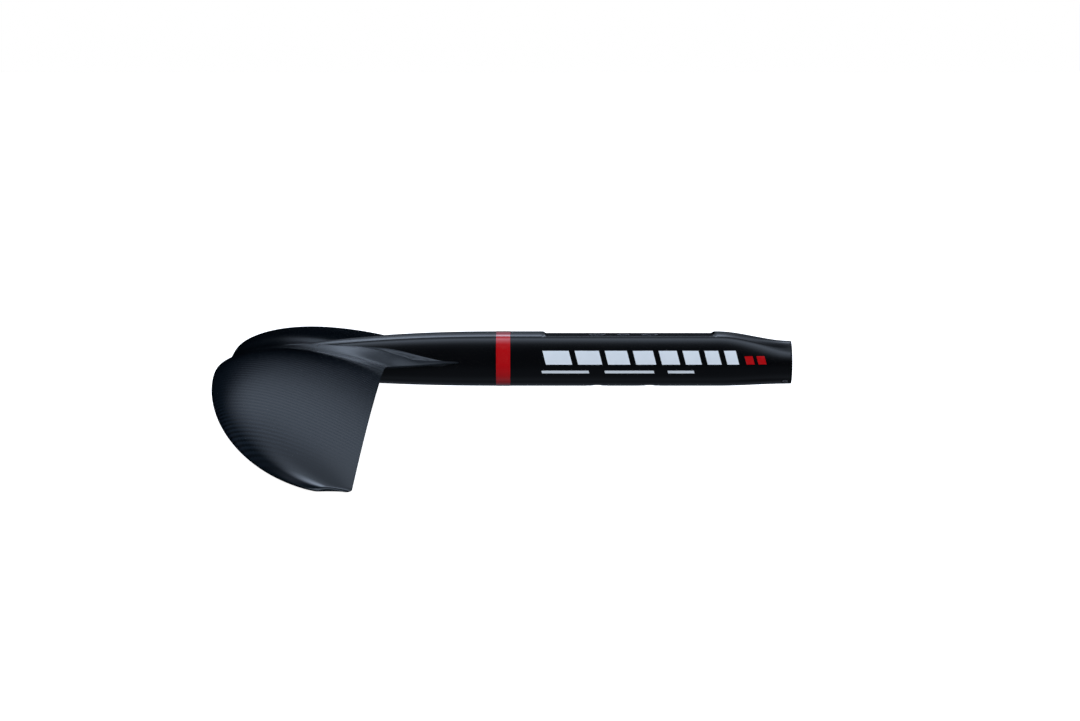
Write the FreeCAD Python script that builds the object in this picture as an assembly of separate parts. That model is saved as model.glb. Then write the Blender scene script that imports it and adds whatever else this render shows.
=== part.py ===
"""Hydrofoil front wing moulded in one piece with its fuselage, as an assembly of its separate pieces.

Row frame, millimetres: +X aft, +Y starboard, +Z up. The origin is the centre of the mast landing, on its flat floor.
t is a share of the half span, 0 at the middle and 1 at a tip. u is a share of the chord, 0 at the leading edge.
"""

import FreeCAD, Part
import math
import os

from FreeCAD import Vector

# ---------------------------------------------------------------- wing
SPAN = 914.0
AREA = 87000.0  # projected
TIP_CLIP = 0.984  # 1.0 would be a full half ellipse with pointed tips
ROOT_CUTBACK = 2.2  # the leading edge sits a little further aft next to the fuselage
CUTBACK_WIDTH = 0.14
TRAILING_EDGE_X = -174.3
TRAILING_EDGE_Z = -16.0  # level of the straight trailing edge, before gull and droop
GULL_DROP = 6.2  # how much lower the root sits than the gull's crest
GULL_WIDTH = 0.12
TIP_DROOP = 34.5
DROOP_POWER = 1.65
TIP_TWIST = 1.6  # degrees, leading edge up
ROOT_THICKNESS = 0.157  # of the chord
TIP_THICKNESS = 0.111
CAMBER = 0.045
CAMBER_PLACE = 0.4
ROOT_EDGE = 1.0  # thickness of the blunt trailing edge
TIP_EDGE = 0.6
FLARE = 56.5  # the trailing edge runs aft along the fuselage's side
FLARE_FROM = 0.55  # share of the chord that stays where it is
FLARE_START_Y = 15.0
FLARE_END_Y = 44.0
FLARE_RISE = 2.9  # how far it has risen, a stretch aft of the straight trailing edge
FLARE_RISE_STRETCH = 50.0

# a ridge along the wing's root carries its thickness aft beside the fuselage
RIDGE_HEIGHT = 4.6
RIDGE_START_X = -246.0
RIDGE_FULL_X = -195.0
RIDGE_FADE_X = -178.0
RIDGE_END_X = -141.0
RIDGE_CREST = 3.6  # from the fuselage's side
RIDGE_FOOT = 22.0
RIDGE_FALL = 1.5  # 1.0 would be a straight slope from crest to foot
RIDGE_VALLEY = 0.35  # share of the height left in the valley against the fuselage

# inside the wing
WING_SKIN = 1.2
BOND_GAP = 0.02  # half the glue line between the two skins
GLUE = 0.05  # glue line around everything else
SPAR_FRONT = 0.26
SPAR_REAR = 0.46
CORE_FRONT = 0.035
CORE_REAR = 0.92
CAP_THICKNESS = 1.5
WEB_THICKNESS = 0.8
CORE_END = 0.96

# ---------------------------------------------------------------- fuselage
HALF_WIDTH = 18.0
DECK_HALF_WIDTH = 14.0
DECK_TOP = 2.25
DECK_EDGE = -0.2
PARTING_Z = -19.4
KEEL_Z = -37.3
SHELL = 1.6
NOSE_TIP_X = -262.0
NOSE_FRONT_X = -261.5
NOSE_FULL_X = -90.0  # aft of this the fuselage has its full section
NOSE_CENTRE_Z = -17.0
NOSE_DROP = 12.8
NOSE_RISE = 8.6
TAIL_START_X = 64.0
TAIL_X = 117.8
TAIL_RADIUS = 15.6
TAIL_CENTRE_Z = -20.2

# mast landing, a flat floor let into the deck
LANDING_HALF_LENGTH = 60.0
LANDING_RAMP = 2.8
LANDING_HALF_WIDTH = 12.9
LANDING_DEPTH = 5.0  # how deep the mast block fills the window in the deck
BLOCK_HALF_LENGTH = 62.0
MAST_BOLT_CENTRE_X = -4.0
MAST_BOLT_SPACING = 38.0
MAST_BOLT_HOLE_R = 4.2
SLEEVE_R = 6.0
SEAT_R = 8.4
SEAT_TOP_Z = -32.4
SEAT_INSET = 0.1  # the seats' lower faces follow the keel, this far inside it
SINK_TOP_Z = -33.2  # of the seats' 90 degree countersink
SINK_DEPTH = 3.8
DOWEL_HOLE_R = 3.0
DOWEL_BUSH_R = 4.5
DOWEL_DEPTH = 12.0

# tail socket
SOCKET_R = 11.0
SOCKET_DEPTH = 48.0
LINER_R = 12.6
RIM_LENGTH = 1.4
RIM_INSET = 0.3
PLUG_LENGTH = 3.0
LOCK_X = 113.0
LOCK_ANGLE = 58.0  # degrees below the horizontal
LOCK_SCREW_R = 2.0
LOCK_INSERT_R = 3.0
LOCK_INNER_R = 11.3
LOCK_OUTER_R = 15.4
LOCK_KEY_AF = 2.0
LOCK_KEY_DEPTH = 1.8

# paint and decals
FILM = 0.12
BAND_X = -91.1
BAND_WIDTH = 10.3
MARKS_FRONT_X = -60.2
BLOCK_WIDTHS = [19.0, 17.5, 16.0, 14.5, 13.0, 11.5, 10.0, 8.5]
BLOCK_GAP = 4.2
BLOCK_LOW_Z = -20.2
BLOCK_HIGH_Z = -10.2
BLOCK_LEAN = 2.6
DASHES = [(-63.0, -29.0), (-17.5, 18.0), (28.0, 47.0)]
DASH_LOW_Z = -26.6
DASH_HIGH_Z = -24.6
DASH_LEAN = 0.5
RED_BLOCKS_X = [84.6, 93.2]
RED_WIDTH = 5.8
RED_HIGH_Z = -14.2
RED_LEAN = 1.6

# stations the surfaces are lofted through
WING_T = [0.016, 0.028, 0.034, 0.039, 0.043, 0.047, 0.052, 0.058, 0.066, 0.078, 0.095, 0.12, 0.16, 0.21, 0.28,
          0.36, 0.45, 0.54, 0.63, 0.71, 0.78, 0.84, 0.89, 0.93, 0.96, 0.98, 1.0]
BODY_X = [-259, -255, -249, -241, -231, -219, -205, -190, -174, -157, -140, -123, -106, -90, -70, -45, -15, 15,
          40, 57, 64, 70, 76, 83, 90, 97, 104, 111]
CHORD_STEPS = 16

# ---------------------------------------------------------------- helpers


def smooth(s):
    """Smoothstep of s, clamped to 0 to 1."""
    s = min(1.0, max(0.0, s))
    return s * s * (3 - 2 * s)


def cosine_steps(count, low=0.0, high=1.0):
    """Steps from low to high that crowd together at both ends."""
    return [low + (high - low) * (1 - math.cos(math.pi * i / count)) / 2 for i in range(count + 1)]


def spline(points):
    """A spline edge through the points, with even parameters so that lofted sections match."""
    steps = cosine_steps(len(points) - 1)
    curve = Part.BSplineCurve()
    curve.interpolate(Points=points, Parameters=steps)
    return curve.toShape()


def loft(wires, ruled=False):
    """A solid through closed wires, smooth or straight from one wire to the next."""
    solid = Part.makeLoft(wires, True, ruled)
    if solid.Volume < 0:
        solid.reverse()
    return solid


def box(x0, x1, y0, y1, z0, z1):
    """A box between two corners."""
    return Part.makeBox(x1 - x0, y1 - y0, z1 - z0, Vector(x0, y0, z0))


def rod(radius, start, end):
    """A cylinder between two points."""
    return Part.makeCylinder(radius, (end - start).Length, start, end - start)


def tube(outer, inner, start, end):
    """A plain tube between two points."""
    return rod(outer, start, end).cut(rod(inner, start, end))


def prism(outline, low_y, high_y):
    """A straight prism along Y from (x, z) corners."""
    corners = [Vector(x, low_y, z) for x, z in outline]
    face = Part.Face(Part.makePolygon(corners + corners[:1]))
    return face.extrude(Vector(0, high_y - low_y, 0))


def solids_over(shape, smallest):
    """The shape's solids larger than a volume in cubic millimetres."""
    kept = [s for s in shape.Solids if s.Volume > smallest]
    return kept[0] if len(kept) == 1 else Part.makeCompound(kept)


# ---------------------------------------------------------------- wing surfaces


def root_chord():
    """Root chord of a half ellipse with clipped tips that has the stated span and area."""
    k = TIP_CLIP
    share = (k * math.sqrt(1 - k * k) + math.asin(k)) / (2 * k)
    return AREA / SPAN / share


ROOT_CHORD = root_chord()


def chord(t):
    cutback = ROOT_CUTBACK * math.exp(-((t / CUTBACK_WIDTH) ** 2))
    return ROOT_CHORD * math.sqrt(1 - (TIP_CLIP * t) ** 2) - cutback


def flare(t):
    """How far the trailing edge runs aft of its straight line, next to the fuselage."""
    away = (t * SPAN / 2 - FLARE_START_Y) / (FLARE_END_Y - FLARE_START_Y)
    return FLARE * (1 - smooth(away)) ** 4


def camber_line(u):
    m, p = CAMBER, CAMBER_PLACE
    if u < p:
        return m / p**2 * (2 * p * u - u * u)
    return m / (1 - p) ** 2 * (1 - 2 * p + 2 * p * u - u * u)


def half_thickness(t, u):
    share = ROOT_THICKNESS + (TIP_THICKNESS - ROOT_THICKNESS) * t
    foil = 0.2969 * math.sqrt(u) - 0.1260 * u - 0.3516 * u**2 + 0.2843 * u**3 - 0.1036 * u**4
    edge = ROOT_EDGE + (TIP_EDGE - ROOT_EDGE) * t
    return 5 * share * chord(t) * foil + edge / 2 * u


def inner_half(t, u):
    """Half thickness of the space between the skins, never quite nothing."""
    free = half_thickness(t, u) - WING_SKIN
    return BOND_GAP + (free + math.hypot(free, 0.12)) / 2


def nose_narrowing(x):
    """The fuselage's width at x as a share of its full width."""
    ahead = min(0.9999, max(0.0, (NOSE_FULL_X - x) / (NOSE_FULL_X - NOSE_TIP_X)))
    return (1 - ahead**2.3) ** 0.62


def ridge(x, y, end_x):
    """Height of the root ridge on the wing's upper surface. end_x is the trailing edge at y."""
    out = y - HALF_WIDTH * nose_narrowing(x)
    inner = RIDGE_VALLEY + (1 - RIDGE_VALLEY) * smooth(out / RIDGE_CREST)
    past = min(1.0, max(0.0, (out - RIDGE_CREST) / (RIDGE_FOOT - RIDGE_CREST)))
    start = smooth((x - RIDGE_START_X) / (RIDGE_FULL_X - RIDGE_START_X))
    end = 1 - smooth((x - RIDGE_FADE_X) / (RIDGE_END_X - RIDGE_FADE_X))
    return RIDGE_HEIGHT * inner * (1 - past) ** RIDGE_FALL * start * end * smooth((end_x - x) / 14.0)


def wing_point(side, t, u, height):
    """A point at a height above the camber line. What lies above it rises with the root ridge."""
    c = chord(t)
    gull = GULL_DROP * math.exp(-((t / GULL_WIDTH) ** 2))
    z = TRAILING_EDGE_Z - TIP_DROOP * t**DROOP_POWER - gull
    z += c * camber_line(u) + c * (1 - u) * math.tan(math.radians(TIP_TWIST * t))
    x = TRAILING_EDGE_X - c * (1 - u) + flare(t) * (max(0.0, u - FLARE_FROM) / (1 - FLARE_FROM)) ** 2
    z += FLARE_RISE * (max(0.0, x - TRAILING_EDGE_X) / FLARE_RISE_STRETCH) ** 1.3
    if height > 0:
        z += ridge(x, t * SPAN / 2, TRAILING_EDGE_X + flare(t))
    return Vector(x, side * t * SPAN / 2, z + height)


def wing_rows(limit=1.0):
    """(side, t) from the port tip to the starboard tip."""
    kept = [t for t in WING_T if t < limit - 0.005] + [limit]
    return [(-1, t) for t in reversed(kept)] + [(1, 0.0)] + [(1, t) for t in kept]


def half_rows(side, limit):
    """(side, t) from the middle outwards."""
    return [(side, 0.001)] + [(side, t) for t in WING_T if t < limit - 0.005] + [(side, limit)]


def ring(upper, lower):
    """A closed section from an upper and a lower row of points, both from front to back."""
    edges = [spline(upper), Part.makeLine(upper[-1], lower[-1]), spline(lower[::-1])]
    if (lower[0] - upper[0]).Length > 1e-6:
        edges.append(Part.makeLine(lower[0], upper[0]))
    return Part.Wire(edges)


def whole_wing(outset=0.0):
    """The wing's outer shape as one solid."""
    wires = []
    for side, t in wing_rows():
        steps = cosine_steps(CHORD_STEPS)
        upper = [wing_point(side, t, u, half_thickness(t, u) + outset) for u in steps]
        lower = [wing_point(side, t, u, -half_thickness(t, u) - outset) for u in steps]
        wires.append(ring(upper, lower))
    return loft(wires, ruled=True)


def wing_skin(sign):
    """The upper (sign 1) or lower (sign -1) skin, tip to tip, with a solid nose."""
    wires = []
    for side, t in wing_rows():
        nose = WING_SKIN / chord(t)
        outer = [wing_point(side, t, u, sign * half_thickness(t, u)) for u in cosine_steps(CHORD_STEPS)]
        steps = cosine_steps(CHORD_STEPS, nose, 1.0)
        inner = [wing_point(side, t, u, sign * inner_half(t, u)) for u in steps]
        corner = wing_point(side, t, nose, sign * BOND_GAP)
        edges = [
            spline(outer),
            Part.makeLine(outer[-1], inner[-1]),
            spline(inner[::-1]),
            Part.makeLine(inner[0], corner),
            Part.makeLine(corner, outer[0]),
        ]
        wires.append(Part.Wire(edges))
    return loft(wires, ruled=True)


def core_height(t, u):
    return max(0.1, inner_half(t, u) - GLUE)


def under_cap(t, u):
    """Height of the spar cap's inner face: the cap thins towards the tips."""
    cap = CAP_THICKNESS * (1 - 0.75 * t)
    return core_height(t, u) - min(cap, 0.6 * core_height(t, u))


def wing_filler(rows, front, rear, top, bottom, count=8):
    """A long solid inside the wing. front(t) and rear(t) are shares of the chord, top(t, u) and
    bottom(t, u) heights above the camber line."""
    wires = []
    for side, t in rows:
        steps = cosine_steps(count, front(t), rear(t))
        upper = [wing_point(side, t, u, top(t, u)) for u in steps]
        lower = [wing_point(side, t, u, bottom(t, u)) for u in steps]
        wires.append(ring(upper, lower))
    return loft(wires, ruled=True)


def web_share(t):
    return WEB_THICKNESS / chord(t)


def glue_share(t):
    return GLUE / chord(t)


def negative(height):
    return lambda t, u: -height(t, u)


def wing_pieces():
    """Skins, spar and foam cores. The wing runs through the fuselage in one piece."""
    both = wing_rows(CORE_END)

    def spar_front(t):
        return SPAR_FRONT

    def spar_rear(t):
        return SPAR_REAR

    def core_under_cap(t, u):
        return under_cap(t, u) - GLUE

    pieces = {
        "wing_upper_skin": wing_skin(1),
        "wing_lower_skin": wing_skin(-1),
        "spar_cap_upper": wing_filler(both, spar_front, spar_rear, core_height, under_cap),
        "spar_cap_lower": wing_filler(both, spar_front, spar_rear, negative(under_cap), negative(core_height)),
        "spar_core": wing_filler(both, spar_front, spar_rear, core_under_cap, negative(core_under_cap)),
        "spar_web_front": wing_filler(
            both,
            lambda t: SPAR_FRONT - glue_share(t) - web_share(t),
            lambda t: SPAR_FRONT - glue_share(t),
            core_height, negative(core_height), 2,
        ),
        "spar_web_rear": wing_filler(
            both,
            lambda t: SPAR_REAR + glue_share(t),
            lambda t: SPAR_REAR + glue_share(t) + web_share(t),
            core_height, negative(core_height), 2,
        ),
    }
    for name, side in (("port", -1), ("starboard", 1)):
        rows = half_rows(side, CORE_END)
        pieces["front_core_" + name] = wing_filler(
            rows,
            lambda t: CORE_FRONT + 0.04 * t,
            lambda t: SPAR_FRONT - web_share(t) - 2 * glue_share(t),
            core_height, negative(core_height),
        )
        pieces["rear_core_" + name] = wing_filler(
            rows,
            lambda t: SPAR_REAR + web_share(t) + 2 * glue_share(t),
            lambda t: CORE_REAR - 0.1 * t,
            core_height, negative(core_height),
        )
    return pieces


# ---------------------------------------------------------------- fuselage surfaces


def bezier(poles):
    curve = Part.BezierCurve()
    curve.setPoles(poles)
    return curve.toShape()


def body_section(x, inset=0.0):
    """The fuselage's section at x: a crowned deck, two shoulders, flat flanks and a round keel. It
    shrinks to a blunt point in the nose and turns into a circle at the tail."""
    ahead = min(0.9999, max(0.0, (NOSE_FULL_X - x) / (NOSE_FULL_X - NOSE_TIP_X)))
    tail = smooth((x - TAIL_START_X) / (TAIL_X - TAIL_START_X))
    narrow = nose_narrowing(x)
    shut = (1 - max(0.0, (ahead - 0.72) / 0.28) ** 2.2) ** 0.5

    def level(z, nose_change):
        """A height that moves with the nose, closes at its point and goes over to the tail."""
        return NOSE_CENTRE_Z + (z + nose_change * ahead**2.3 - NOSE_CENTRE_Z) * shut

    def towards(value, tail_value):
        return value + (tail_value - value) * tail

    diagonal = TAIL_RADIUS * math.sin(math.pi / 4)
    half = towards(HALF_WIDTH * narrow, TAIL_RADIUS) - inset
    deck = towards(DECK_HALF_WIDTH * narrow, diagonal) - 0.7 * inset
    top = towards(level(DECK_TOP, -NOSE_DROP), TAIL_CENTRE_Z + TAIL_RADIUS) - inset
    edge = towards(level(DECK_EDGE, -NOSE_DROP), TAIL_CENTRE_Z + diagonal) - 0.85 * inset
    parting = towards(level(PARTING_Z, 0.0), TAIL_CENTRE_Z)
    keel = towards(level(KEEL_Z, NOSE_RISE), TAIL_CENTRE_Z - TAIL_RADIUS) + inset

    drop = edge - parting
    round_handle = 0.2652 * TAIL_RADIUS
    shoulder = towards(min(0.30 * drop, 1.1 * (half - deck)), round_handle) * math.sin(math.pi / 4)
    flank = towards(0.45 * drop, round_handle)
    squareness = towards(0.66, 0.5523)
    belly = parting - squareness * (parting - keel)
    crown = 2 * top - edge

    def side(s):
        return [
            Vector(x, s * deck, edge),
            Vector(x, s * (deck + shoulder), edge - shoulder),
            Vector(x, s * half, parting + flank),
            Vector(x, s * half, parting),
        ]

    def quarter(s):
        return [
            Vector(x, s * half, parting),
            Vector(x, s * half, belly),
            Vector(x, s * squareness * half, keel),
            Vector(x, 0, keel),
        ]

    edges = [
        bezier([Vector(x, -deck, edge), Vector(x, 0, crown), Vector(x, deck, edge)]),
        bezier(side(1)),
        bezier(quarter(1)),
        bezier(quarter(-1)[::-1]),
        bezier(side(-1)[::-1]),
    ]
    return Part.Wire(edges)


def body(inset=0.0, low=NOSE_FRONT_X, high=TAIL_X):
    """The fuselage between two stations as one solid."""
    between = [x for x in BODY_X if low + 0.5 < x < high - 0.5]
    return loft([body_section(x, inset) for x in [low] + between + [high]])


def landing_cut():
    """What is cut away above the mast landing: a flat floor with a ramp up to the deck at each end."""
    flat, crest = LANDING_HALF_LENGTH, LANDING_HALF_LENGTH + LANDING_RAMP
    high = DECK_TOP + 1
    rise = crest + LANDING_RAMP * (high - DECK_TOP) / DECK_TOP
    outline = [(-flat, 0), (flat, 0), (rise, high), (-rise, high)]
    return prism(outline, -2 * HALF_WIDTH, 2 * HALF_WIDTH)


def mast_bolt_places():
    return [MAST_BOLT_CENTRE_X - MAST_BOLT_SPACING / 2, MAST_BOLT_CENTRE_X + MAST_BOLT_SPACING / 2]


def lock_point(side, radius):
    """A point on a lock screw's axis, at a radius from the socket's axis."""
    angle = math.radians(LOCK_ANGLE)
    return Vector(LOCK_X, side * radius * math.cos(angle), TAIL_CENTRE_Z - radius * math.sin(angle))


def fuselage_holes(extra):
    """Everything that passes through the shells and cores, grown by a glue line."""
    holes = []
    for x in mast_bolt_places():
        holes.append(rod(SLEEVE_R + extra, Vector(x, 0, SEAT_TOP_Z - 1), Vector(x, 0, 5)))
        holes.append(rod(SEAT_R + extra, Vector(x, 0, KEEL_Z - 2), Vector(x, 0, SEAT_TOP_Z + extra)))
    holes.append(rod(DOWEL_BUSH_R + extra, Vector(MAST_BOLT_CENTRE_X, 0, -DOWEL_DEPTH - extra),
                     Vector(MAST_BOLT_CENTRE_X, 0, 5)))
    for side in (-1, 1):
        holes.append(rod(LOCK_INSERT_R + extra, lock_point(side, 8), lock_point(side, 20)))
    return holes


def cut_all(shape, tools):
    for tool in tools:
        shape = shape.cut(tool)
    return shape


def socket_space(extra):
    """The room the liner, its plug and its rim take up."""
    front = TAIL_X - SOCKET_DEPTH - PLUG_LENGTH - extra
    long_bore = rod(LINER_R + extra, Vector(front, 0, TAIL_CENTRE_Z), Vector(TAIL_X + 1, 0, TAIL_CENTRE_Z))
    rim = box(TAIL_X - RIM_LENGTH - extra, TAIL_X + 1, -20, 20, KEEL_Z, 0)
    return long_bore.fuse(rim)


def fuselage_pieces():
    """Shells, foam cores and the hard block under the mast."""
    outer = body()
    inner = body(SHELL)
    wing = whole_wing(GLUE)
    holes = fuselage_holes(GLUE)
    cut = landing_cut()
    socket = socket_space(GLUE)
    window = box(-LANDING_HALF_LENGTH, LANDING_HALF_LENGTH, -LANDING_HALF_WIDTH, LANDING_HALF_WIDTH,
                 -LANDING_DEPTH, 5)
    far = 3 * HALF_WIDTH
    shell = cut_all(outer.cut(inner), [wing, cut, window, socket] + holes)
    upper = shell.common(box(-300, 200, -far, far, PARTING_Z + BOND_GAP, 50))
    lower = shell.common(box(-300, 200, -far, far, -80, PARTING_Z - BOND_GAP))

    filling = body(SHELL + GLUE)
    block_room = box(-BLOCK_HALF_LENGTH, BLOCK_HALF_LENGTH, -far, far, -80, 50)
    plug_in_window = box(-LANDING_HALF_LENGTH + GLUE, LANDING_HALF_LENGTH - GLUE,
                         -LANDING_HALF_WIDTH + GLUE, LANDING_HALF_WIDTH - GLUE, -LANDING_DEPTH, 0)
    block = filling.common(block_room).fuse(plug_in_window)
    block = cut_all(block, [cut] + holes)

    def core(x0, x1, z0=-80, z1=50):
        piece = filling.common(box(x0, x1, -far, far, z0, z1))
        return cut_all(piece, [wing, socket, cut] + holes)

    neck_x = TRAILING_EDGE_X + 4
    return {
        "fuselage_upper_shell": solids_over(upper, 20),
        "fuselage_lower_shell": solids_over(lower, 20),
        "nose_core_upper": solids_over(core(-240, neck_x - GLUE, -19), 20),
        "nose_core_lower": solids_over(core(-240, neck_x - GLUE, -80, -19 - GLUE), 20),
        "neck_core": solids_over(core(neck_x, -BLOCK_HALF_LENGTH - GLUE), 20),
        "mast_block": solids_over(block, 20),
        "tail_core": solids_over(core(BLOCK_HALF_LENGTH + GLUE, TAIL_X), 20),
    }


# ---------------------------------------------------------------- metal fittings


def mast_fittings():
    """Bolt sleeves, the countersunk seats under them and the locating dowel's bush."""
    sleeves = []
    seats = []
    keel = body(SEAT_INSET)
    for x in mast_bolt_places():
        sleeves.append(tube(SLEEVE_R, MAST_BOLT_HOLE_R, Vector(x, 0, SEAT_TOP_Z + GLUE), Vector(x, 0, 0)))
        seat = tube(SEAT_R, MAST_BOLT_HOLE_R, Vector(x, 0, KEEL_Z - 1), Vector(x, 0, SEAT_TOP_Z))
        sink = Part.makeCone(MAST_BOLT_HOLE_R, MAST_BOLT_HOLE_R + SINK_DEPTH, SINK_DEPTH,
                             Vector(x, 0, SINK_TOP_Z), Vector(0, 0, -1))
        seats.append(solids_over(seat.common(keel).cut(sink), 20))
    x = MAST_BOLT_CENTRE_X
    bush = rod(DOWEL_BUSH_R, Vector(x, 0, -DOWEL_DEPTH), Vector(x, 0, 0))
    bush = bush.cut(rod(DOWEL_HOLE_R, Vector(x, 0, -DOWEL_DEPTH + 1), Vector(x, 0, 1)))
    return {
        "mast_bolt_sleeves": Part.makeCompound(sleeves),
        "mast_bolt_seats": Part.makeCompound(seats),
        "dowel_bush": bush,
    }


def key_socket(side):
    """The hexagonal key hole in the outer end of a lock screw."""
    along = lock_point(side, 1) - lock_point(side, 0)
    turn = FreeCAD.Rotation(Vector(0, 0, 1), along)
    radius = LOCK_KEY_AF / math.sqrt(3)
    corners = []
    for i in range(7):
        angle = math.radians(60 * i)
        flat = Vector(radius * math.cos(angle), radius * math.sin(angle), 0)
        corners.append(lock_point(side, LOCK_OUTER_R - LOCK_KEY_DEPTH) + turn.multVec(flat))
    return Part.Face(Part.makePolygon(corners)).extrude(along * (LOCK_KEY_DEPTH + 1))


def tail_fittings():
    """The socket's liner, its end plug and rim, and the two lock screws in their inserts."""
    def centre(x):
        return Vector(x, 0, TAIL_CENTRE_Z)

    rim_x = TAIL_X - RIM_LENGTH
    liner = tube(LINER_R, SOCKET_R, centre(TAIL_X - SOCKET_DEPTH), centre(rim_x - GLUE))
    plug = rod(LINER_R, centre(TAIL_X - SOCKET_DEPTH - PLUG_LENGTH), centre(TAIL_X - SOCKET_DEPTH - GLUE))
    rim = tube(TAIL_RADIUS - RIM_INSET, SOCKET_R, centre(rim_x), centre(TAIL_X))
    skin = body(0.02, TAIL_START_X, TAIL_X)
    inserts = []
    screws = []
    for side in (-1, 1):
        liner = liner.cut(rod(LOCK_INSERT_R + GLUE, lock_point(side, 5), lock_point(side, 20)))
        insert = tube(LOCK_INSERT_R, LOCK_SCREW_R + 0.03, lock_point(side, LOCK_INNER_R), lock_point(side, 18))
        inserts.append(insert.common(skin))
        screw = rod(LOCK_SCREW_R, lock_point(side, LOCK_INNER_R), lock_point(side, LOCK_OUTER_R))
        screws.append(screw.cut(key_socket(side)))
    return {
        "tail_socket_liner": liner,
        "tail_socket_plug": plug,
        "tail_rim": rim,
        "lock_inserts": Part.makeCompound(inserts),
        "lock_screws": Part.makeCompound(screws),
    }


# ---------------------------------------------------------------- paint and decals


def slanted(x0, x1, z0, z1, lean=0.0):
    """A four-sided mark in side view, leaning forward towards its top."""
    return [(x0, z0), (x1, z0), (x1 - lean, z1), (x0 - lean, z1)]


def side_marks():
    """Generic bars: a row of slanted blocks that grow shorter aft, over a row of thin dashes."""
    marks = []
    x = MARKS_FRONT_X
    for width in BLOCK_WIDTHS:
        marks.append(slanted(x, x + width, BLOCK_LOW_Z, BLOCK_HIGH_Z, BLOCK_LEAN))
        x += width + BLOCK_GAP
    for low, high in DASHES:
        marks.append(slanted(low, high, DASH_LOW_Z, DASH_HIGH_Z, DASH_LEAN))
    return marks


def size_marks():
    """Two red blocks behind the row."""
    return [slanted(x, x + RED_WIDTH, BLOCK_LOW_Z, RED_HIGH_Z, RED_LEAN) for x in RED_BLOCKS_X]


def film_pieces():
    """The painted band and the decals, as thin films on the fuselage's outer surface."""
    outer = body()
    film = body(-FILM).cut(outer)
    low = BAND_X - BAND_WIDTH / 2
    far = 3 * HALF_WIDTH
    pieces = {"colour_band": film.common(box(low, low + BAND_WIDTH, -far, far, -80, 50))}
    for name, y0, y1 in (("port", -far, -5), ("starboard", 5, far)):
        for kind, outlines in (("side_marking", side_marks()), ("size_mark", size_marks())):
            solids = [film.common(prism(outline, y0, y1)) for outline in outlines]
            pieces[kind + "_" + name] = Part.makeCompound([s for shape in solids for s in shape.Solids])
    return pieces


def main():
    os.makedirs("parts", exist_ok=True)
    pieces = {}
    for group in (wing_pieces(), fuselage_pieces(), mast_fittings(), tail_fittings(), film_pieces()):
        pieces.update(group)
    for name, shape in pieces.items():
        shape.exportStep(f"parts/{name}.step")
        bounds = shape.BoundBox
        print(
            f"{name:22s} valid {shape.isValid()} solids {len(shape.Solids)} volume {shape.Volume:10.1f} mm3"
            f" x {bounds.XMin:.1f} {bounds.XMax:.1f} z {bounds.ZMin:.1f} {bounds.ZMax:.1f}"
        )


main()
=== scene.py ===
import math

import bmesh
import bpy
import numpy as np
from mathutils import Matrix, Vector


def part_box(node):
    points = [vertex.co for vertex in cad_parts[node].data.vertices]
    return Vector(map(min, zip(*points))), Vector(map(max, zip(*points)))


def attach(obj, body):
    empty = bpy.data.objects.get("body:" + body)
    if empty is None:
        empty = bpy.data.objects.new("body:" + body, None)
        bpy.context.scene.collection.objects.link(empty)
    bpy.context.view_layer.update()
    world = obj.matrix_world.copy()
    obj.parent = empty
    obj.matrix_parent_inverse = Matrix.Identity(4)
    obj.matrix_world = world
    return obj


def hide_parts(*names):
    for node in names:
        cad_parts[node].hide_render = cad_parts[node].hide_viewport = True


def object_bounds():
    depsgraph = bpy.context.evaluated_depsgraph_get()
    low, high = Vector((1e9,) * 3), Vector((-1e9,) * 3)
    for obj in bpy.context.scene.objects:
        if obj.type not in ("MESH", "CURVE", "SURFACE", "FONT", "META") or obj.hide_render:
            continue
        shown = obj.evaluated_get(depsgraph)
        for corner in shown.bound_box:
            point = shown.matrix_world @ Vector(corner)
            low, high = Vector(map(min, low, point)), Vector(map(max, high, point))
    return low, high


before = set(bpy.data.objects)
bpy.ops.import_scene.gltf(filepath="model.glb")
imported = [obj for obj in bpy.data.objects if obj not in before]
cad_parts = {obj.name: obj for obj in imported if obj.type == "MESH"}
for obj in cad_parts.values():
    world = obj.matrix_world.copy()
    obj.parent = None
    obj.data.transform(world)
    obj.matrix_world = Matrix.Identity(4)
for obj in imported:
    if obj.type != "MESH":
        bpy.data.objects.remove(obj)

# Hydrofoil front wing with its fuselage: the visible skins, paint and trim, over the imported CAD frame.
# Shapes are worked out in millimetres in the row frame (+X aft, +Y starboard, +Z up) and made in metres.
# t is a share of the half span, 0 at the middle and 1 at a tip. u is a share of the chord from the nose.

MM = 0.001
CAD_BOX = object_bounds()

# ---------------------------------------------------------------- driving dimensions, millimetres

# wing
HALF_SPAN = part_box("wing_upper_skin")[1].y / MM
ROOT_CHORD = 119.55  # that gives the wing its area
TIP_CLIP = 0.984  # 1.0 would be a full half ellipse with pointed tips
ROOT_CUTBACK = 2.2  # the leading edge sits a little further aft next to the fuselage
CUTBACK_WIDTH = 0.14  # in t
TRAILING_EDGE_X = -174.3
TRAILING_EDGE_Z = -16.0  # level of the straight trailing edge, before gull and droop
GULL_DROP = 6.2  # how much lower the root sits than the gull's crest
GULL_WIDTH = 0.12  # in t
TIP_DROOP = 34.5
DROOP_POWER = 1.65
TIP_TWIST = 1.6  # degrees, leading edge up
ROOT_THICKNESS = 0.157  # of the chord
TIP_THICKNESS = 0.111
CAMBER = 0.045  # of the chord
CAMBER_PLACE = 0.4  # in u
ROOT_EDGE = 1.0  # thickness of the blunt trailing edge
TIP_EDGE = 0.6
FLARE = 56.5  # the trailing edge runs aft along the fuselage's side
FLARE_FROM = 0.55  # share of the chord that stays where it is
FLARE_START_Y = 15.0
FLARE_END_Y = 44.0
FLARE_RISE = 2.9  # how far it has risen, a stretch aft of the straight trailing edge
FLARE_RISE_STRETCH = 50.0
TIP_ROUND = 1.6  # radius of the rounded end face
TIP_CORNER = 6.0  # length along the span over which the tip's corners are drawn in
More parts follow.
